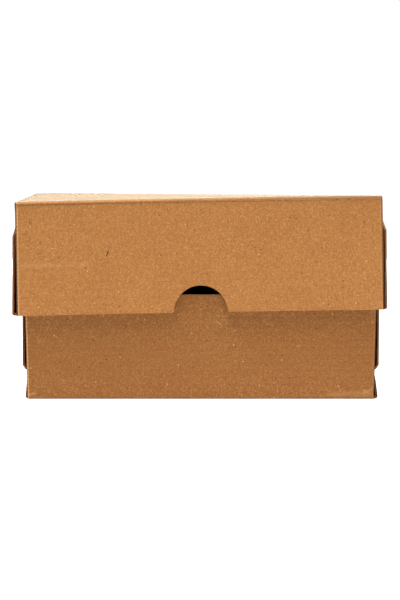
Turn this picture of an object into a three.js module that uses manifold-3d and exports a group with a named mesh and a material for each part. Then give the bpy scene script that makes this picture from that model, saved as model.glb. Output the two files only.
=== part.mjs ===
// Mailer box: a corrugated tray with a separate telescoping lid that has a thumb notch in its front.
// Millimetres, +Z up, the box stands on Z = 0 and its front faces -Y.
// Each half is one die-cut blank of corrugated board, folded and not glued: a main panel, a front and
// a back panel with corner flaps, and two end walls that roll over the rim and come down outside.

import * as THREE from "three";
import { mergeVertices } from "three/addons/utils/BufferGeometryUtils.js";
import Module from "manifold-3d";

const wasm = await Module();
wasm.setup();
const { Manifold, Mesh } = wasm;

// Board
const BOARD = 1.6; // fine-flute corrugated board
const FLUTE_PITCH = 3.3; // one full wave of the fluting
const FLUTE_WALL = 0.32; // liner plus half of the fluting paper
const FLUTE_DEPTH = 3; // how far the open flutes are modelled into a cut end
const EDGE_GROOVE = 0.7; // gap between the two liners on an edge cut along the flutes
const EDGE_GROOVE_DEPTH = 0.8;
const BEND = 2.2; // outer radius of a crease
const BEND_STEPS = 4;
const BEAD = 0.35; // the crease stands this much proud of the panel
const SCORE_WIDTH = 1.2; // pressed line beside the bead, where the panel begins
const SCORE_DEPTH = 0.55;
const PLAY = 0.12; // air between layers of board that lie on each other

// Base tray
const BASE_HEIGHT = 92;
const BASE_DEPTH = 226;
const BASE_HALF = 156.8; // middle to the outside of the rolled-over flaps
const BASE_FLAP_GAP = 0.7; // air between a corner flap and the flap rolled over it
const BASE_SPREAD = 1.9; // the front panel is this much wider at the rim, each side
const BASE_FACE_RIM = BASE_HALF - BOARD - BASE_FLAP_GAP; // middle to the corner crease, at the rim
const BASE_FACE_LOW = BASE_FACE_RIM - BASE_SPREAD; // the same at the main panel
const BASE_LEAN = 0.9; // front and back panels lean out this much at the rim
const BASE_END_LEFT = BASE_FACE_LOW + 1.7; // middle to the crease of the end wall
const BASE_END_RIGHT = BASE_FACE_LOW + 3.3; // this crease is crushed outwards
const BASE_FLAP_SPRUNG = 0.1; // the free ends of the flaps stand out a little
const BASE_TIP = 22.5; // free end of the outer flap above the main panel
const BASE_CORNER_FROM = 31; // the corner flaps begin this far from the main panel

// Lid
const LID_HEIGHT = 99.8;
const LID_CLEARANCE = 1.9; // air between the lid's and the base's front panels
const SLIDE_PLAY_LEFT = 1.4; // air between the lid's end walls and the base
const SLIDE_PLAY_RIGHT = 0.92;
const LID_WALLS = 2 * BOARD + PLAY; // end wall and corner flap lying on each other
const LID_FACE_RIM_LEFT = BASE_HALF + SLIDE_PLAY_LEFT + LID_WALLS; // middle to the corner crease, at the rim
const LID_FACE_RIM_RIGHT = BASE_HALF + SLIDE_PLAY_RIGHT + LID_WALLS;
const LID_SPREAD = 0.8;
const LID_FACE_LOW_LEFT = LID_FACE_RIM_LEFT - LID_SPREAD; // the same at the main panel
const LID_FACE_LOW_RIGHT = LID_FACE_RIM_RIGHT - LID_SPREAD;
const LID_LEAN = 0.4;
const LID_FLAP_LEFT = LID_FACE_RIM_LEFT + BOARD + 2.5; // outside of the flap at the rim: it has sprung out
const LID_FLAP_RIGHT = LID_FACE_RIM_RIGHT + BOARD + 0.9;
const LID_FLAP_TIP_LEFT = LID_FACE_RIM_LEFT + BOARD + 0.3; // the same at the flap's free end
const LID_FLAP_TIP_RIGHT = LID_FACE_RIM_RIGHT + BOARD + 1;
const LID_END_LEFT = LID_FACE_LOW_LEFT + 0.5; // middle to the crease of the end wall
const LID_END_RIGHT = LID_FACE_LOW_RIGHT + 0.2;
const LID_TIP = 23;
const LID_CORNER_FROM = 39;

// Flaps of both
const CORNER_FLAP = 78; // length of a corner flap
const END_INSET = 3.7; // end walls stop this far short of the front and back faces
const TIP_BEVEL_LENGTH = 30; // bevelled corners of the outer flaps
const TIP_BEVEL_HEIGHT = 7;

// Thumb notch
const NOTCH_RADIUS = 23.5;
const NOTCH_ROUND = 1.4; // the corners where the notch meets the rim

// How the lid sits
const LID_OVERLAP = 15.9; // how far the lid is pushed down over the base
const LID_TILT = 1.0; // degrees, right side up
const LID_TWIST = 1.4; // degrees less tilt at the back than at the front
const LID_BOW = 0.6; // the lid's middle stands up between its ends
const LID_SHIFT = 0.1; // the lid sits a little to the right

// Colours
const KRAFT_BASE = 0xad7446;
const KRAFT_LID = 0xc58a54;

// A closed solid from a three.js geometry.
function solid(geometry) {
  const bare = new THREE.BufferGeometry();
  bare.setAttribute("position", geometry.getAttribute("position"));
  const merged = mergeVertices(bare, 1e-4);
  return new Manifold(
    new Mesh({
      numProp: 3,
      vertProperties: new Float32Array(merged.attributes.position.array),
      triVerts: new Uint32Array(merged.index.array),
    }),
  );
}

// Prisms from outlines: along "x" the outline is [y, z], along "y" it is [x, z], along "z" [x, y].
function prism(axis, outlines, from, to, place) {
  const shapes = outlines.map((outline) => {
    const points = outline.map(([u, v]) => (axis === "y" ? [v, u] : [u, v]));
    return new THREE.Shape(points.map(([u, v]) => new THREE.Vector2(u, v)));
  });
  const options = { depth: to - from, bevelEnabled: false, steps: 1 };
  const geometry = new THREE.ExtrudeGeometry(shapes, options);
  const position = geometry.getAttribute("position");
  for (let i = 0; i < position.count; i++) {
    const u = position.getX(i);
    const v = position.getY(i);
    const w = position.getZ(i) + from;
    const p = { x: [w, u, v], y: [v, w, u], z: [u, v, w] }[axis];
    position.setXYZ(i, ...(place ? place(p) : p));
  }
  return solid(geometry);
}

// Points on an arc; angles in degrees, counter-clockwise from the first axis.
function arc([cu, cv], radius, from, to, steps = BEND_STEPS) {
  const points = [];
  for (let i = 0; i <= steps; i++) {
    const a = THREE.MathUtils.degToRad(from + ((to - from) * i) / steps);
    points.push([cu + radius * Math.cos(a), cv + radius * Math.sin(a)]);
  }
  return points;
}

// The outline of board of a given thickness that follows a middle line.
function ribbon(path, thickness) {
  const near = [];
  const far = [];
  const direction = (a, b) => new THREE.Vector2(b[0] - a[0], b[1] - a[1]).normalize();
  path.forEach((p, i) => {
    const into = direction(path[Math.max(i - 1, 0)], path[Math.max(i, 1)]);
    const last = path.length - 1;
    const out = direction(path[Math.min(i, last - 1)], path[Math.min(i + 1, last)]);
    const along = into.clone().add(out).normalize();
    const reach = thickness / 2 / along.dot(into);
    near.push([p[0] - along.y * reach, p[1] + along.x * reach]);
    far.push([p[0] + along.y * reach, p[1] - along.x * reach]);
  });
  return [...near, ...far.reverse()];
}

// Front (side = -1) or back (side = 1) panel with its corner flaps, from the crease up to the rim.
function facePanel(tray, side) {
  const { height, depth, faceLow, faceRim, lean, cornerFrom } = tray;
  const middle = BOARD / 2;
  const turn = BEND - middle;
  const front = depth / 2;
  const path = [
    [-faceLow[0] + middle, front - CORNER_FLAP],
    ...arc([-faceLow[0] + BEND, front - BEND], turn, 180, 90),
    ...arc([faceLow[1] - BEND, front - BEND], turn, 90, 0),
    [faceLow[1] - middle, front - CORNER_FLAP],
  ].map(([x, y]) => [x, side * y]);
  const spread = ([x, y, z]) => {
    const rise = (z - BEND) / (height - BEND);
    const [low, rim] = x < 0 ? [faceLow[0], faceRim[0]] : [faceLow[1], faceRim[1]];
    return [x + (x / low) * (rim - low) * rise, y + side * lean * rise, z];
  };
  let panel = prism("z", [ribbon(path, BOARD)], BEND, height, spread);
  const behind = front - END_INSET + 0.4;
  const beyond = front - CORNER_FLAP - 5;
  const relief = [
    [side * (behind - lean), 0],
    [side * (behind - lean), cornerFrom],
    [side * beyond, cornerFrom + 4],
    [side * beyond, 0],
  ];
  const underRim = [
    [side * (behind + lean), height + 1],
    [side * (behind + lean), height - BOARD - 0.7],
    [side * beyond, height - BOARD - 3],
    [side * beyond, height + 1],
  ];
  panel = panel.subtract(prism("x", [relief, underRim], -250, 250));
  const groove = [
    [-faceLow[0] + BEND, side * (front - middle - EDGE_GROOVE / 2)],
    [faceLow[1] - BEND, side * (front - middle - EDGE_GROOVE / 2)],
    [faceLow[1] - BEND, side * (front - middle + EDGE_GROOVE / 2)],
    [-faceLow[0] + BEND, side * (front - middle + EDGE_GROOVE / 2)],
  ];
  return panel.subtract(prism("z", [groove], height - EDGE_GROOVE_DEPTH, height + 1, spread));
}

// The crease between the main panel and the front or back panel, with its raised bead.
function faceCrease(tray, side) {
  const { depth, faceLow } = tray;
  const centre = [depth / 2 - BEND, BEND];
  const proud = BEND + BEAD;
  const ends = THREE.MathUtils.radToDeg(Math.acos(BEND / proud));
  const outer = arc(centre, proud, -90 + ends, ends);
  const inner = arc(centre, BEND - BOARD, 0, -90);
  const outline = [
    [depth / 2 - BEND, 0],
    ...outer.map(([y, z]) => [y, Math.max(z, 0)]),
    [depth / 2, BEND],
    ...inner,
  ].map(([y, z]) => [side * y, z]);
  const apart = outline.filter((p, i) => {
    const q = outline[(i + 1) % outline.length];
    return Math.hypot(p[0] - q[0], p[1] - q[1]) > 1e-3;
  });
  return prism("x", [apart], -faceLow[0] + 0.6, faceLow[1] - 0.6);
}

// End wall, roll-over and outer flap on the left (side = -1) or the right (side = 1).
function endWall(tray, side) {
  const { height, depth, tip, cornerFrom } = tray;
  const at = side < 0 ? 0 : 1;
  const middle = BOARD / 2;
  const turn = BEND - middle;
  const crease = tray.end[at];
  const face = (z) => THREE.MathUtils.mapLinear(z, 0, height, tray.faceLow[at], tray.faceRim[at]);
  const wall = (z) => face(z) - BOARD - PLAY - middle;
  const lip = height - BEND;
  const outerRim = tray.flap[at] - middle;
  const outerTip = tray.flapTip[at] - middle;
  const path = [
    ...arc([crease - BEND, BEND], turn, -90, 0),
    [(crease - middle) * 0.62 + wall(cornerFrom) * 0.38, cornerFrom * 0.5],
    [wall(cornerFrom) - 0.05, cornerFrom - 2],
    ...arc([wall(lip) + turn, lip], turn, 180, 90),
    ...arc([outerRim - turn, lip], turn, 90, 0),
    [outerTip, tip],
  ].map(([x, z]) => [side * x, z]);
  const half = depth / 2 - END_INSET;
  let wallSolid = prism("y", [ribbon(path, BOARD)], -half, half);
  const grooveEnds = [
    [-half - 1, -half + EDGE_GROOVE_DEPTH],
    [half - EDGE_GROOVE_DEPTH, half + 1],
  ];
  for (const [from, to] of grooveEnds) {
    wallSolid = wallSolid.subtract(prism("y", [ribbon(path, EDGE_GROOVE)], from, to));
  }
  const bevels = [-1, 1].map((y) => [
    [y * (half + 1), tip - 1],
    [y * (half + 1), tip + TIP_BEVEL_HEIGHT * (1 + 1 / TIP_BEVEL_LENGTH)],
    [y * (half - TIP_BEVEL_LENGTH), tip],
    [y * (half - TIP_BEVEL_LENGTH), tip - 1],
  ]);
  const reach = [side * (outerTip - BOARD), side * (outerTip + BOARD * 2)].sort((a, b) => a - b);
  wallSolid = wallSolid.subtract(prism("x", bevels, ...reach));
  const slope = (outerRim - outerTip) / (lip - tip);
  const follow = ([x, y, z]) => [side * (outerTip + x + (z - tip) * slope), side * y, z];
  const channels = flutes(half - TIP_BEVEL_LENGTH - 1);
  return wallSolid.subtract(prism("z", channels, tip - 1, tip + FLUTE_DEPTH, follow));
}

// The open flutes of a cut end: two rows of triangles between the liners, seen along the flutes.
function flutes(half) {
  const inside = BOARD / 2 - FLUTE_WALL;
  const width = FLUTE_PITCH / 2 - FLUTE_WALL;
  const count = Math.floor((2 * half) / (FLUTE_PITCH / 2));
  const outlines = [];
  for (let i = 0; i < count; i++) {
    const y = (i - (count - 1) / 2) * (FLUTE_PITCH / 2);
    const up = i % 2 ? 1 : -1;
    outlines.push([
      [-up * inside, y - width],
      [-up * inside, y + width],
      [up * inside, y],
    ]);
  }
  return outlines;
}

// The half-round thumb notch, as an outline on a panel whose rim is at z = height.
function notch(height) {
  const reach = NOTCH_RADIUS + NOTCH_ROUND;
  const out = Math.sqrt(reach * reach - NOTCH_ROUND * NOTCH_ROUND);
  const meet = THREE.MathUtils.radToDeg(Math.asin(NOTCH_ROUND / reach));
  const left = arc([-out, -NOTCH_ROUND], NOTCH_ROUND, 90, meet, 3);
  const round = arc([0, 0], NOTCH_RADIUS, 180 + meet, 360 - meet, 28).slice(1, -1);
  const right = arc([out, -NOTCH_ROUND], NOTCH_ROUND, 180 - meet, 90, 3);
  const outline = [[-out, 2], ...left, ...round, ...right, [out, 2]];
  return outline.map(([x, z]) => [x, z + height]);
}

// One folded blank, main panel down, as a single solid.
function foldedTray(tray) {
  const { depth, end } = tray;
  const half = depth / 2 - BEND;
  const plate = [
    [-end[0] + BEND, -half],
    [end[1] - BEND, -half],
    [end[1] - BEND, half],
    [-end[0] + BEND, half],
  ];
  let made = prism("z", [plate], 0, BOARD);
  for (const side of [-1, 1]) {
    made = made.add(faceCrease(tray, side)).add(facePanel(tray, side)).add(endWall(tray, side));
  }
  for (const side of [-1, 1]) {
    const face = depth / 2;
    const score = [
      [side * (face + 0.1), BEND + 0.1],
      [side * (face - SCORE_DEPTH), BEND + SCORE_WIDTH / 2],
      [side * (face + 0.1), BEND + SCORE_WIDTH],
    ];
    made = made.subtract(prism("x", [score], -tray.faceLow[0] - 1, tray.faceLow[1] + 1));
  }
  if (tray.notched) {
    const y = -depth / 2;
    made = made.subtract(prism("y", [notch(tray.height)], y - 3, y + BOARD + 1));
  }
  return made;
}

// Cuts every triangle where it crosses the given planes, so that a large panel can take a soft bend.
function sliced({ points, faces }, axis, levels) {
  let triangles = faces;
  for (const level of levels) {
    const cuts = new Map();
    const side = (i) => Math.sign(Math.round((points[i][axis] - level) * 1e3));
    const cut = (a, b) => {
      const key = a < b ? a + "_" + b : b + "_" + a;
      if (!cuts.has(key)) {
        const [p, q] = a < b ? [points[a], points[b]] : [points[b], points[a]];
        const t = (level - p[axis]) / (q[axis] - p[axis]);
        cuts.set(key, points.length);
        points.push(p.map((v, k) => v + (q[k] - v) * t));
      }
      return cuts.get(key);
    };
    const next = [];
    for (const face of triangles) {
      const ring = [];
      face.forEach((a, k) => {
        const b = face[(k + 1) % 3];
        ring.push(a);
        if (side(a) * side(b) < 0) {
          ring.push(cut(a, b));
        }
      });
      if (ring.length === 3) {
        next.push(face);
        continue;
      }
      for (const keep of [-1, 1]) {
        const part = ring.filter((i) => i >= 0 && side(i) * keep >= 0);
        for (let k = 2; k < part.length; k++) {
          next.push([part[0], part[k - 1], part[k]]);
        }
      }
    }
    triangles = next;
  }
  return { points, faces: triangles };
}

// Points and faces of a solid.
function opened(made) {
  const { vertProperties, triVerts, numProp } = made.getMesh();
  const points = [];
  for (let i = 0; i < vertProperties.length; i += numProp) {
    points.push([...vertProperties.slice(i, i + 3)]);
  }
  const faces = [];
  for (let i = 0; i < triVerts.length; i += 3) {
    faces.push([...triVerts.slice(i, i + 3)]);
  }
  return { points, faces };
}

// A named mesh from points and faces.
function node(name, colour, { points, faces }) {
  const geometry = new THREE.BufferGeometry();
  geometry.setAttribute("position", new THREE.Float32BufferAttribute(points.flat(), 3));
  geometry.setIndex(faces.flat());
  geometry.computeVertexNormals();
  const material = new THREE.MeshStandardMaterial({ color: colour, roughness: 0.85, metalness: 0 });
  material.name = name + "_board";
  const mesh = new THREE.Mesh(geometry, material);
  mesh.name = name;
  return mesh;
}

// Evenly spaced levels between -reach and reach.
function levels(reach, count) {
  return Array.from({ length: count }, (_, i) => reach * ((2 * (i + 1)) / (count + 1) - 1));
}

const base = opened(
  foldedTray({
    height: BASE_HEIGHT,
    depth: BASE_DEPTH,
    faceLow: [BASE_FACE_LOW, BASE_FACE_LOW],
    faceRim: [BASE_FACE_RIM, BASE_FACE_RIM],
    lean: BASE_LEAN,
    flap: [BASE_HALF, BASE_HALF],
    flapTip: [BASE_HALF + BASE_FLAP_SPRUNG, BASE_HALF + BASE_FLAP_SPRUNG],
    end: [BASE_END_LEFT, BASE_END_RIGHT],
    tip: BASE_TIP,
    cornerFrom: BASE_CORNER_FROM,
  }),
);

const LID_DEPTH = BASE_DEPTH + 2 * (BASE_LEAN + LID_CLEARANCE + BOARD - LID_LEAN);
let lid = opened(
  foldedTray({
    height: LID_HEIGHT,
    depth: LID_DEPTH,
    faceLow: [LID_FACE_LOW_LEFT, LID_FACE_LOW_RIGHT],
    faceRim: [LID_FACE_RIM_LEFT, LID_FACE_RIM_RIGHT],
    lean: LID_LEAN,
    flap: [LID_FLAP_LEFT, LID_FLAP_RIGHT],
    flapTip: [LID_FLAP_TIP_LEFT, LID_FLAP_TIP_RIGHT],
    end: [LID_END_LEFT, LID_END_RIGHT],
    tip: LID_TIP,
    cornerFrom: LID_CORNER_FROM,
    notched: true,
  }),
);
const LID_HALF = LID_FLAP_LEFT;
lid = sliced(lid, 0, levels(LID_HALF, 3));
lid = sliced(lid, 1, levels(LID_DEPTH / 2, 1));

// The lid turned over, set down crooked on the base: tilted, twisted and slightly bowed.
const rimLevel = BASE_HEIGHT - LID_OVERLAP;
lid.points = lid.points.map(([x, y, z]) => {
  const up = LID_HEIGHT - z;
  const back = y / LID_DEPTH + 0.5;
  const tilt = THREE.MathUtils.degToRad(LID_TILT);
  const tiltHere = THREE.MathUtils.degToRad(LID_TILT - LID_TWIST * back);
  const bow = LID_BOW * (1 - (x / LID_HALF) ** 2) * (1 - back);
  const across = x * Math.cos(tilt) - up * Math.sin(tilt) + LID_SHIFT;
  const level = rimLevel + up * Math.cos(tilt) + x * Math.sin(tiltHere) + bow;
  return [across, y, level];
});
lid.faces = lid.faces.map(([a, b, c]) => [a, c, b]);

// The origin is the middle of the footprint of the whole box.
const bounds = new THREE.Box3();
for (const p of [...base.points, ...lid.points]) {
  bounds.expandByPoint(new THREE.Vector3(...p));
}
const centre = bounds.getCenter(new THREE.Vector3());
for (const p of [...base.points, ...lid.points]) {
  p[0] -= centre.x;
  p[1] -= centre.y;
}

const group = new THREE.Group();
group.add(node("base_tray", KRAFT_BASE, base));
group.add(node("lid", KRAFT_LID, lid));

export default group;
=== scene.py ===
import math
from collections import namedtuple

import bpy
from mathutils import Matrix, Vector


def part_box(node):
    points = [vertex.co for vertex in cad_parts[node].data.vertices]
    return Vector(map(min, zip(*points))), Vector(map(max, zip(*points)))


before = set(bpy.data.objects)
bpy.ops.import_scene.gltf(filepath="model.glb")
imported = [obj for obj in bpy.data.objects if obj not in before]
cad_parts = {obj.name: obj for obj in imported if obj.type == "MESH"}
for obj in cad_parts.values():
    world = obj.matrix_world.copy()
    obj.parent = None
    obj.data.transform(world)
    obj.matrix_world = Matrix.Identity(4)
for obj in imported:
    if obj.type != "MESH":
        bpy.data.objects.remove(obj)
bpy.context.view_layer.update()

MM = 0.001
FULL_TURN = 2 * math.pi
base_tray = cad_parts["base_tray"]
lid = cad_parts["lid"]

# the board and how the box stands
FLUTE_PITCH = 3.3 * MM
LID_TILT = math.radians(1.0)
MIDDLE = sum(corner[0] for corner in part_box("base_tray")) / 2

# colours, linear
BASE_KRAFT = (0.279, 0.097, 0.013, 1)
LID_KRAFT = (0.420, 0.166, 0.036, 1)
# dark fibre of the liner, also painted shade in the score line, on the bead, past the panels' edges and
# in dents
DARK_FIBRE_AND_SHADE = (0.17, 0.065, 0.022, 1)
# near-black brown of pulp specks, also painted shade in the gaps at the outer turns of the fronts
SPECK_AND_GAP_SHADE_BROWN = (0.012, 0.004, 0.001, 1)
RED_FLECK = (0.45, 0.03, 0.015, 1)
# pale fibre of the liner, also painted light in the score line at the right and a painted highlight on
# the crushed corner
PALE_FIBRE_AND_LIGHT = (0.78, 0.46, 0.20, 1)
# painted highlight along the side creases of the fronts
CREASE_HIGHLIGHT = (0.80, 0.43, 0.17, 1)
FLUTE_TINT = (1.0, 0.85, 0.7, 1)
# multiplied onto the lid's top: a painted cream sheen of light glancing off it
TOP_SHEEN_TINT = (0.70, 1.06, 1.7, 1)
FLOOR_GREY = (0.93, 0.93, 0.93, 1)
WHITE = (1, 1, 1, 1)

# which way a face looks, from its normal: well to the front, barely to the front, up, or flat on top
FRONT_FACING = -0.6
FRONT_TURNING = -0.12
UP_FACING = 0.7
FLAT_TOP = 0.9

# mottle of the liner: noise scale, detail and roughness, each layer's share of the tone, how far the
# tone swings, and how much dark and pale fibre there is at its ends
CLOUDS = (480, 2, 0.5)
GRAIN = (900, 2, 0.6)
PATCHES = (22, 2, 0.5)
CLOUD_SHARE = 0.28
GRAIN_SHARE = 0.85
PATCH_SHARE = 0.1
TONE_REACH = 0.26
DARKEST = 0.56
PALEST = 0.34

# single fibres: direction in radians, stretch along it, and the noise levels where they show
FIBRE_NOISE = (1500, 1, 0.4)
DARK_FIBRES = ((0.5, 0.22, 0.69, 0.76), (1.5, 0.26, 0.70, 0.77))
PALE_FIBRES = ((-0.6, 0.24, 0.68, 0.76),)
DARK_FIBRE_STRENGTH = 0.5
PALE_FIBRE_STRENGTH = 0.12

# specks of pulp: cells in a metre, radius in cells, share of the cells, paint and strength
SPECKS = (
    (170, 0.13, 0.4, SPECK_AND_GAP_SHADE_BROWN, 0.75),
    (140, 0.11, 0.4, PALE_FIBRE_AND_LIGHT, 0.65),
)

# washboard of the fluting: the noise that makes it wander and how far, the noise and the range that
# make it stronger in places, the shares of the wave and of one half as fast, and how much it tints
WANDER_NOISE = (14, 1, 0.5)
WANDER = 0.9 * MM
STRENGTH_NOISE = (9, 1, 0.5)
STRENGTH_SPAN = (0.35, 0.7, 0.25, 1.0)
WAVE_SHARE = 0.6
HALF_WAVE_SHARE = 0.7
FLUTE_TINT_STRENGTH = 0.016

# how high each layer stands, for the bump
WASHBOARD_RISE = 0.007 * MM
CLOUD_RISE = 0.11 * MM
GRAIN_RISE = 0.04 * MM

# the score line: half its width where it is full and where it ends, how it bows up in the middle,
# and where along X it gets its painted shade and its painted light, as a value's range and the strength
# at both ends
SCORE_FULL = 0.3 * MM
SCORE_END = 1.1 * MM
SCORE_BOW = 0.6 * MM
SCORE_BOW_HALF = 163 * MM
SCORE_SHADE_SPAN = (-160 * MM, 60 * MM)
SCORE_LIGHT_SPAN = (60 * MM, 155 * MM, 0.0, 0.1)
BEAD_HEIGHT = 0.8 * MM
# painted shade on the bead: where along X it grows, and its strength at both ends
BEAD_SHADE_SPAN = (-60 * MM, 130 * MM, 0.0, 0.5)

# the sides of a front: the soft edge of the panel, the darkness outside it (the raw edges' own darker
# brown, partly painted shade in the gaps), how soft the painted shade on its outer turn ends, how far
# past that the painted highlight along the crease lies, half its width, and how the flute ends break it
# up
PANEL_EDGE = (-0.5 * MM, -0.1 * MM)
OUTSIDE_EDGE_AND_SHADE = 0.3
TURN_SOFT = 0.25 * MM
CREASE_PAST_TURN = 0.6 * MM
CREASE_FULL = 0.35 * MM
CREASE_END = 0.9 * MM
TEETH = (-0.8, 0.6, 0.45, 1.0)

# marks, in millimetres: how soft their ends are, at most and as a share of their width, and half the
# length, the width and the strength of a fleck
MARK_SOFT_MOST = 3
MARK_SOFT_SHARE = 0.7
FLECK_REACH = 0.2
FLECK_WIDTH = 0.8
FLECK_STRENGTH = 0.9

# floor and world: half the floor's side, its drop below the box, its glow for the camera by distance
# (metres where it begins to rise and is full, and its strength at both), and the world's fill light
FLOOR_HALF = 12.0
FLOOR_DROP = 0.4 * MM
FLOOR_GLOW = (0.8, 2.2, 0.7, 1.0)
WORLD_STRENGTH = 0.1

# soft lights: name, place, point aimed at, size and watts
SOFT_LIGHTS = (
    ("overhead", (0.1, -0.5, 1.5), (0, 0, 0.1), (1.0, 0.7), 7.0),
    ("skylight", (0.05, -0.3, 1.5), (0, 0, 0.1), (1.2, 0.45), 42.0),
    ("behind", (0.0, 2.4, 0.42), (0, 0, 0.18), (3.0, 0.4), 50.0),
)

# camera, fitted to the photograph
PHOTO_SIZE = (400, 600)
FOCUS_PX = 2007.0
SENSOR_WIDTH = 36.0
EYE = Vector((0.3 * MM, -1868.0 * MM, 210.0 * MM))
LOOKS_DOWN = math.radians(4.004)

# the left or right side of a front: where the panel's edge is at the score line and at the rim, how
# wide its outer turn is, in millimetres, how dark the painted shade on the turn is at both heights, and
# how strong the painted highlight along the crease is
Side = namedtuple("Side", "edge_low edge_rim turn dark_low dark_rim pale")
# a front: heights of its score line and its rim, how dark the painted shade in the score line is, and its
# two sides
Front = namedtuple("Front", "low rim score left right")
# a mark between two points (x, z) of the front, with its width and rise, all in millimetres
Mark = namedtuple("Mark", "start end width rise paint strength")


class Value:
    """A number that changes over the surface, joined to others with plain arithmetic."""

    def __init__(self, nodes, socket):
        self.nodes = nodes
        self.socket = socket

    def __add__(self, other):
        return self.nodes.math("ADD", self, other)

    def __sub__(self, other):
        return self.nodes.math("SUBTRACT", self, other)

    def __rsub__(self, other):
        return self.nodes.math("SUBTRACT", other, self)

    def __mul__(self, other):
        return self.nodes.math("MULTIPLY", self, other)

    def __truediv__(self, other):
        return self.nodes.math("DIVIDE", self, other)

    def __pow__(self, other):
        return self.nodes.math("POWER", self, other)

    def __lt__(self, other):
        return self.nodes.math("LESS_THAN", self, other)

    def __gt__(self, other):
        return self.nodes.math("GREATER_THAN", self, other)

    def __abs__(self):
        return self.nodes.math("ABSOLUTE", self)


class Nodes:
    """Short ways to add and join shader nodes in one tree."""

    def __init__(self, tree):
        self.tree = tree

    def add(self, kind, **settings):
        node = self.tree.nodes.new(kind)
        for key, setting in settings.items():
            setattr(node, key, setting)
        return node

    def put(self, socket, source):
        if isinstance(source, Value):
            source = source.socket
        if isinstance(source, bpy.types.NodeSocket):
            self.tree.links.new(source, socket)
        else:
            socket.default_value = source

    def math(self, operation, first, second=None):
        node = self.add("ShaderNodeMath", operation=operation)
        self.put(node.inputs[0], first)
        if second is not None:
            self.put(node.inputs[1], second)
        return Value(self, node.outputs[0])

    def span(self, value, low, high, to_low=0.0, to_high=1.0, smooth=False):
        """Takes a value from one range to another and holds it at the ends."""
        node = self.add("ShaderNodeMapRange", clamp=True)
        if smooth:
            node.interpolation_type = "SMOOTHSTEP"
        for socket, source in zip(node.inputs, (value, low, high, to_low, to_high)):
            self.put(socket, source)
        return Value(self, node.outputs[0])

    def mix(self, factor, under, over, blend="MIX"):
        """Mixes two colours, which are inputs 6 and 7 and output 2 of the node."""
        node = self.add("ShaderNodeMix", data_type="RGBA", blend_type=blend)
        self.put(node.inputs[0], factor)
        self.put(node.inputs[6], under)
        self.put(node.inputs[7], over)
        return node.outputs[2]

    def noise(self, place, scale, detail, rough):
        node = self.add("ShaderNodeTexNoise")
        self.put(node.inputs["Vector"], place)
        node.inputs["Scale"].default_value = scale
        node.inputs["Detail"].default_value = detail
        node.inputs["Roughness"].default_value = rough
        return Value(self, node.outputs[0])

    def placed(self, place, location=(0, 0, 0), rotation=(0, 0, 0), scale=(1, 1, 1)):
        node = self.add("ShaderNodeMapping")
        self.put(node.inputs["Vector"], place)
        node.inputs["Location"].default_value = location
        node.inputs["Rotation"].default_value = rotation
        node.inputs["Scale"].default_value = scale
        return node.outputs[0]

    def split(self, vector):
        node = self.add("ShaderNodeSeparateXYZ")
        self.put(node.inputs[0], vector)
        return [Value(self, socket) for socket in node.outputs]

    def place(self):
        return self.add("ShaderNodeTexCoord").outputs["Object"]

    def normal(self):
        return self.split(self.add("ShaderNodeNewGeometry").outputs["True Normal"])


def fibres(nodes, place, kinds):
    """The peaks of stretched noise in one or more directions."""
    shown = None
    for turn, stretch, low, high in kinds:
        laid = nodes.placed(place, location=(turn, 0, 0), rotation=(0, turn, 0), scale=(stretch, 1, 1))
        peaks = nodes.span(nodes.noise(laid, *FIBRE_NOISE), low, high)
        shown = peaks if shown is None else nodes.math("MAXIMUM", shown, peaks)
    return shown


def washboard(nodes, place, tilt):
    """The fluting runs along X, so it shows across Z on the front and the back and across Y elsewhere."""
    x, y, z = nodes.split(place)
    leaned = z - x * nodes.math("TANGENT", tilt)
    upright = abs(nodes.normal()[1]) > UP_FACING
    across = leaned * upright + y * (1.0 - upright)
    wander = (nodes.noise(place, *WANDER_NOISE) - 0.5) * WANDER
    phase = (across + wander) * (FULL_TURN / FLUTE_PITCH)
    wave = nodes.math("SINE", phase)
    half_wave = nodes.math("SINE", phase * 0.5)
    strength = nodes.span(nodes.noise(place, *STRENGTH_NOISE), *STRENGTH_SPAN)
    return (wave * WAVE_SHARE + half_wave * HALF_WAVE_SHARE) * strength


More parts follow.
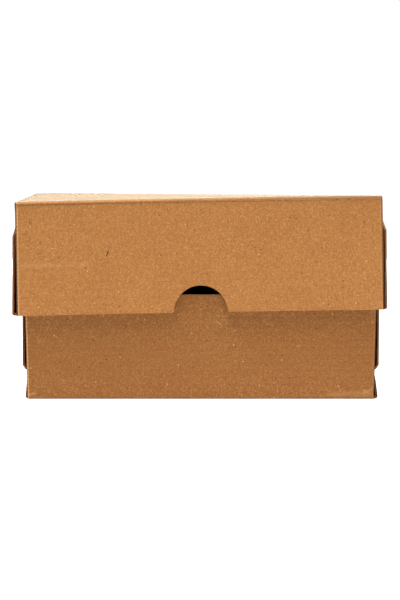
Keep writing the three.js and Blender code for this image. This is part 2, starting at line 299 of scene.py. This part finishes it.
def kraft_group():
    """Kraft liner: mottle, single fibres, specks and the faint washboard of the fluting underneath."""
    tree = bpy.data.node_groups.new("Kraft liner", "ShaderNodeTree")
    face = tree.interface
    face.new_socket("Colour", in_out="INPUT", socket_type="NodeSocketColor")
    face.new_socket("Tilt", in_out="INPUT", socket_type="NodeSocketFloat")
    face.new_socket("Colour", in_out="OUTPUT", socket_type="NodeSocketColor")
    face.new_socket("Height", in_out="OUTPUT", socket_type="NodeSocketFloat")
    nodes = Nodes(tree)
    inputs = nodes.add("NodeGroupInput").outputs
    outputs = nodes.add("NodeGroupOutput").inputs
    place = nodes.place()

    # mottle: soft clouds of 2 to 3 mm, finer grain, and broad uneven patches
    clouds = nodes.noise(place, *CLOUDS)
    grain = nodes.noise(place, *GRAIN)
    patches = nodes.noise(place, *PATCHES)
    tone = (clouds - 0.5) * CLOUD_SHARE + (grain - 0.5) * GRAIN_SHARE + (patches - 0.5) * PATCH_SHARE
    darker = nodes.span(tone, -TONE_REACH, 0.0, DARKEST, 0.0)
    colour = nodes.mix(darker, inputs["Colour"], DARK_FIBRE_AND_SHADE)
    colour = nodes.mix(nodes.span(tone, 0.0, TONE_REACH, 0.0, PALEST), colour, PALE_FIBRE_AND_LIGHT)

    colour = nodes.mix(fibres(nodes, place, DARK_FIBRES) * DARK_FIBRE_STRENGTH, colour, DARK_FIBRE_AND_SHADE)
    colour = nodes.mix(fibres(nodes, place, PALE_FIBRES) * PALE_FIBRE_STRENGTH, colour, PALE_FIBRE_AND_LIGHT)

    for scale, radius, share, paint, strength in SPECKS:
        cells = nodes.add("ShaderNodeTexVoronoi")
        nodes.put(cells.inputs["Vector"], place)
        cells.inputs["Scale"].default_value = scale
        chosen = nodes.split(cells.outputs["Color"])[0] < share
        spot = nodes.span(cells.outputs["Distance"], radius / 2, radius, 1.0, 0.0) * chosen
        colour = nodes.mix(spot * strength, colour, paint)

    board = washboard(nodes, place, inputs["Tilt"])
    most = WAVE_SHARE + HALF_WAVE_SHARE
    colour = nodes.mix(nodes.span(board, -most, most, 0.0, FLUTE_TINT_STRENGTH), colour, FLUTE_TINT)
    nodes.put(outputs["Colour"], colour)
    nodes.put(outputs["Height"], board * WASHBOARD_RISE + clouds * CLOUD_RISE + grain * GRAIN_RISE)
    return tree


KRAFT = kraft_group()


def painted_shade_and_highlight_sides(nodes, colour, z, front):
    """Each side of the front: raw edges outside it, darkened partly as painted shade, painted shade on
    its outer turn, then a painted highlight along the crease.
    """
    across_front = nodes.split(nodes.place())[0]
    normal_y = nodes.normal()[1]
    faces_front = normal_y < FRONT_FACING
    turns_front = normal_y < FRONT_TURNING
    teeth = nodes.span(nodes.math("SINE", z * (FULL_TURN / FLUTE_PITCH)), *TEETH)
    for inwards, side in ((1, front.left), (-1, front.right)):
        edge = nodes.span(z, front.low, front.rim, side.edge_low * MM, side.edge_rim * MM)
        inside = (across_front - edge) * inwards
        outside = nodes.span(inside, *PANEL_EDGE, 1.0, 0.0)
        # past the panel's edge: the raw edges' own darker brown, partly painted shade in the gap
        colour = nodes.mix(outside * turns_front * OUTSIDE_EDGE_AND_SHADE, colour, DARK_FIBRE_AND_SHADE)
        turn = side.turn * MM
        # painted shade on the outer turn, where the gap to the side flap lies
        shaded_turn = nodes.span(inside, turn - TURN_SOFT, turn + TURN_SOFT, 1.0, 0.0) * turns_front
        darkness = nodes.span(z, front.low, front.rim, side.dark_low, side.dark_rim)
        colour = nodes.mix(shaded_turn * nodes.span(inside, *PANEL_EDGE) * darkness, colour, SPECK_AND_GAP_SHADE_BROWN)
        # painted highlight along the crease
        off_crease = abs(inside - (turn + CREASE_PAST_TURN))
        crease_highlight_mask = nodes.span(off_crease, CREASE_FULL, CREASE_END, side.pale, 0.0) * faces_front
        colour = nodes.mix(crease_highlight_mask * teeth, colour, CREASE_HIGHLIGHT)
    return colour


def scored(nodes, colour, x, z, front, paints_top_sheen):
    """The pressed score line: painted shade in it, darkest at the left, and a little painted light in it
    at the right.
    """
    _, normal_y, normal_z = nodes.normal()
    bow = (1.0 - (x / SCORE_BOW_HALF) ** 2.0) * SCORE_BOW
    above = z - bow
    pressed = nodes.span(abs(above - front.low), SCORE_FULL, SCORE_END, 1.0, 0.0)
    pressed = pressed * (normal_y < FRONT_FACING)
    # painted shade in the score line, strongest at the left, and a little painted light in it at the
    # right
    colour = nodes.mix(pressed * nodes.span(x, *SCORE_SHADE_SPAN, front.score, 0.0), colour, DARK_FIBRE_AND_SHADE)
    colour = nodes.mix(pressed * nodes.span(x, *SCORE_LIGHT_SPAN), colour, PALE_FIBRE_AND_LIGHT)
    if not paints_top_sheen:
        return colour

    # painted shade on the raised bead past the score line, stronger to the right, and a painted cream
    # sheen multiplied onto the top
    bead = nodes.span(above, front.low, front.low + BEAD_HEIGHT) * (normal_z < FLAT_TOP)
    colour = nodes.mix(bead * nodes.span(x, *BEAD_SHADE_SPAN), colour, DARK_FIBRE_AND_SHADE)
    return nodes.mix(normal_z > UP_FACING, colour, TOP_SHEEN_TINT, "MULTIPLY")


def marked(nodes, colour, height, marks):
    """Soft ridges, dents, flecks and pale places on the front; some dents hold a little painted shade,
    and a crushed corner a painted highlight.
    """
    place = nodes.place()
    faces_front = nodes.normal()[1] < FRONT_FACING
    for mark in marks:
        start = Vector(mark.start) * MM
        run = Vector(mark.end) * MM - start
        turn = math.atan2(run.y, run.x)
        local = nodes.placed(place, location=(-start.x, 0, -start.y))
        along, _, off_line = nodes.split(nodes.placed(local, rotation=(0, turn, 0)))
        across = nodes.span(abs(off_line), 0.0, mark.width * MM, 1.0, 0.0, smooth=True)
        soft = min(MARK_SOFT_MOST, MARK_SOFT_SHARE * mark.width) * MM
        begun = nodes.span(along, -soft, soft, smooth=True)
        ended = nodes.span(along, run.length - soft, run.length + soft, 1.0, 0.0, smooth=True)
        ridge = across * (begun * ended) * faces_front
        if mark.rise:
            height = height + ridge * (mark.rise * MM)
        colour = nodes.mix(ridge * mark.strength, colour, mark.paint)
    return colour, height


def kraft(name, liner_colour, tilt, front, marks, paints_top_sheen):
    """Board of one piece: the kraft liner with its own colour and marks, painted shade and highlights at
    its creases and score line, and for the lid a painted sheen on its top.
    """
    material = bpy.data.materials.new(name)
    material.use_nodes = True
    nodes = Nodes(material.node_tree)
    liner = nodes.add("ShaderNodeGroup", node_tree=KRAFT)
    liner.inputs["Colour"].default_value = liner_colour
    liner.inputs["Tilt"].default_value = tilt
    centred = nodes.placed(nodes.place(), location=(-MIDDLE, 0, 0))
    x, _, z = nodes.split(nodes.placed(centred, rotation=(0, tilt, 0)))
    colour = painted_shade_and_highlight_sides(nodes, liner.outputs["Colour"], z, front)
    colour = scored(nodes, colour, x, z, front, paints_top_sheen)
    colour, height = marked(nodes, colour, Value(nodes, liner.outputs["Height"]), marks)
    bump = nodes.add("ShaderNodeBump")
    bump.inputs["Distance"].default_value = 1.0
    bump.inputs["Strength"].default_value = 0.9
    nodes.put(bump.inputs["Height"], height)
    shader = material.node_tree.nodes["Principled BSDF"]
    nodes.put(shader.inputs["Base Color"], colour)
    nodes.put(shader.inputs["Normal"], bump.outputs[0])
    shader.inputs["Roughness"].default_value = 0.6
    shader.inputs["IOR"].default_value = 1.45
    shader.inputs["Specular IOR Level"].default_value = 0.28
    return material


def fleck(x, z, paint=SPECK_AND_GAP_SHADE_BROWN):
    """A speck of pulp at a point of the front."""
    start = (x - FLECK_REACH, z + FLECK_REACH)
    end = (x + FLECK_REACH, z - FLECK_REACH)
    return Mark(start, end, FLECK_WIDTH, 0, paint, FLECK_STRENGTH)


BASE_FRONT = Front(
    low=2.8 * MM, rim=92 * MM, score=0.1,
    left=Side(edge_low=-151.2, edge_rim=-153.1, turn=0.1, dark_low=0.0, dark_rim=0.0, pale=0.7),
    right=Side(edge_low=153.5, edge_rim=155.4, turn=0.6, dark_low=1.0, dark_rim=0.8, pale=0.1),
)
LID_FRONT = Front(
    low=173.1 * MM, rim=76 * MM, score=0.5,
    left=Side(edge_low=-161.4, edge_rim=-160.5, turn=1.5, dark_low=0.6, dark_rim=0.92, pale=0.62),
    right=Side(edge_low=159.6, edge_rim=162.05, turn=1.5, dark_low=0.3, dark_rim=1.0, pale=0.15),
)
BASE_MARKS = (
    Mark((14, 69), (20, 64), 0.8, 0.05, PALE_FIBRE_AND_LIGHT, 0.35),
    # the crushed lower right corner: raised ridges with a painted highlight on them
    Mark((112, 3.5), (151, 5.5), 3.0, 0.25, PALE_FIBRE_AND_LIGHT, 0.14),
    Mark((143, 4), (152, 9), 2.0, 0.3, PALE_FIBRE_AND_LIGHT, 0.18),
    Mark((-153, 3), (-144, 5), 2.0, 0.1, PALE_FIBRE_AND_LIGHT, 0.25),
    Mark((124, 13.6), (125, 13.6), 0.9, 0, RED_FLECK, 0.6),
    fleck(-72.3, 59.9),
    fleck(-36.3, 63.1),
    fleck(7.9, 54.6),
    fleck(102.8, 35.8),
    fleck(37.8, 62.8),
    fleck(-104.3, 17.5),
)
LID_MARKS = (
    # a wrinkle and a dent, with a little painted shade in them
    Mark((-5, 171), (-12, 147), 2.2, -0.25, DARK_FIBRE_AND_SHADE, 0.06),
    Mark((-22, 174), (-8, 173), 3.0, -0.3, DARK_FIBRE_AND_SHADE, 0.05),
    Mark((-148, 158), (-148, 153), 1.8, -0.05, DARK_FIBRE_AND_SHADE, 0.4),
    Mark((-157, 117), (-97, 118), 3.5, 0.1, PALE_FIBRE_AND_LIGHT, 0.1),
    Mark((-79.6, 130.6), (-81.4, 125.8), 0.9, 0, SPECK_AND_GAP_SHADE_BROWN, 0.95),
    fleck(-101.8, 95.9),
    fleck(3.2, 163.7),
    fleck(42.5, 134.7),
    fleck(-109.4, 153.25, PALE_FIBRE_AND_LIGHT),
    fleck(-47.5, 132.25, PALE_FIBRE_AND_LIGHT),
    fleck(-10.9, 131.3, PALE_FIBRE_AND_LIGHT),
)
for node, material in (
    (base_tray, kraft("Kraft board of the tray", BASE_KRAFT, 0.0, BASE_FRONT, BASE_MARKS, False)),
    (lid, kraft("Kraft board of the lid", LID_KRAFT, LID_TILT, LID_FRONT, LID_MARKS, True)),
):
    node.data.materials.clear()
    node.data.materials.append(material)


def floor_paint():
    """Matt pale floor that also glows for the camera, more with distance, so that it reads as white."""
    material = bpy.data.materials.new("Pale floor")
    material.use_nodes = True
    nodes = Nodes(material.node_tree)
    shader = material.node_tree.nodes["Principled BSDF"]
    shader.inputs["Base Color"].default_value = FLOOR_GREY
    shader.inputs["Roughness"].default_value = 1.0
    shader.inputs["Specular IOR Level"].default_value = 0.0
    glow = nodes.add("ShaderNodeEmission")
    seen = nodes.add("ShaderNodeLightPath").outputs["Is Camera Ray"]
    away = nodes.add("ShaderNodeVectorMath", operation="LENGTH")
    nodes.put(away.inputs[0], nodes.place())
    strength = nodes.span(away.outputs["Value"], *FLOOR_GLOW, smooth=True)
    nodes.put(glow.inputs["Strength"], strength * Value(nodes, seen))
    both = nodes.add("ShaderNodeAddShader")
    nodes.put(both.inputs[0], shader.outputs[0])
    nodes.put(both.inputs[1], glow.outputs[0])
    nodes.put(material.node_tree.nodes["Material Output"].inputs["Surface"], both.outputs[0])
    return material


def white_studio():
    """White for the camera and a weak fill light for everything else."""
    world = bpy.data.worlds.new("White studio")
    world.use_nodes = True
    nodes = Nodes(world.node_tree)
    background = world.node_tree.nodes["Background"]
    seen = nodes.add("ShaderNodeLightPath").outputs["Is Camera Ray"]
    background.inputs["Color"].default_value = WHITE
    nodes.put(background.inputs["Strength"], nodes.span(seen, 0.0, 1.0, WORLD_STRENGTH, 1.0))
    return world


def soft_light(name, place, aim, size, power):
    """A large rectangular area light aimed at a point."""
    data = bpy.data.lights.new(name, "AREA")
    data.shape = "RECTANGLE"
    data.size, data.size_y = size
    data.energy = power
    lamp = bpy.data.objects.new(name, data)
    bpy.context.scene.collection.objects.link(lamp)
    lamp.location = place
    lamp.rotation_euler = (Vector(aim) - Vector(place)).to_track_quat("-Z", "Y").to_euler()


# floor, backdrop and lights
floor_mesh = bpy.data.meshes.new("floor")
corners = [(x * FLOOR_HALF, y * FLOOR_HALF, 0) for x, y in ((-1, -1), (1, -1), (1, 1), (-1, 1))]
floor_mesh.from_pydata(corners, [], [(0, 1, 2, 3)])
floor_mesh.materials.append(floor_paint())
floor = bpy.data.objects.new("floor", floor_mesh)
bpy.context.scene.collection.objects.link(floor)
floor.location.z = -FLOOR_DROP
bpy.context.scene.world = white_studio()
for light in SOFT_LIGHTS:
    soft_light(*light)

# camera
camera_data = bpy.data.cameras.new("photo")
camera_data.sensor_fit = "HORIZONTAL"
camera_data.sensor_width = SENSOR_WIDTH
camera_data.lens = FOCUS_PX * SENSOR_WIDTH / PHOTO_SIZE[0]
camera_data.clip_start = 0.01
camera = bpy.data.objects.new("photo", camera_data)
bpy.context.scene.collection.objects.link(camera)
camera.matrix_world = Matrix.Translation(EYE) @ Matrix.Rotation(math.pi / 2 - LOOKS_DOWN, 4, "X")
scene = bpy.context.scene
scene.camera = camera
scene.render.resolution_x, scene.render.resolution_y = PHOTO_SIZE
scene.view_settings.view_transform = "Standard"
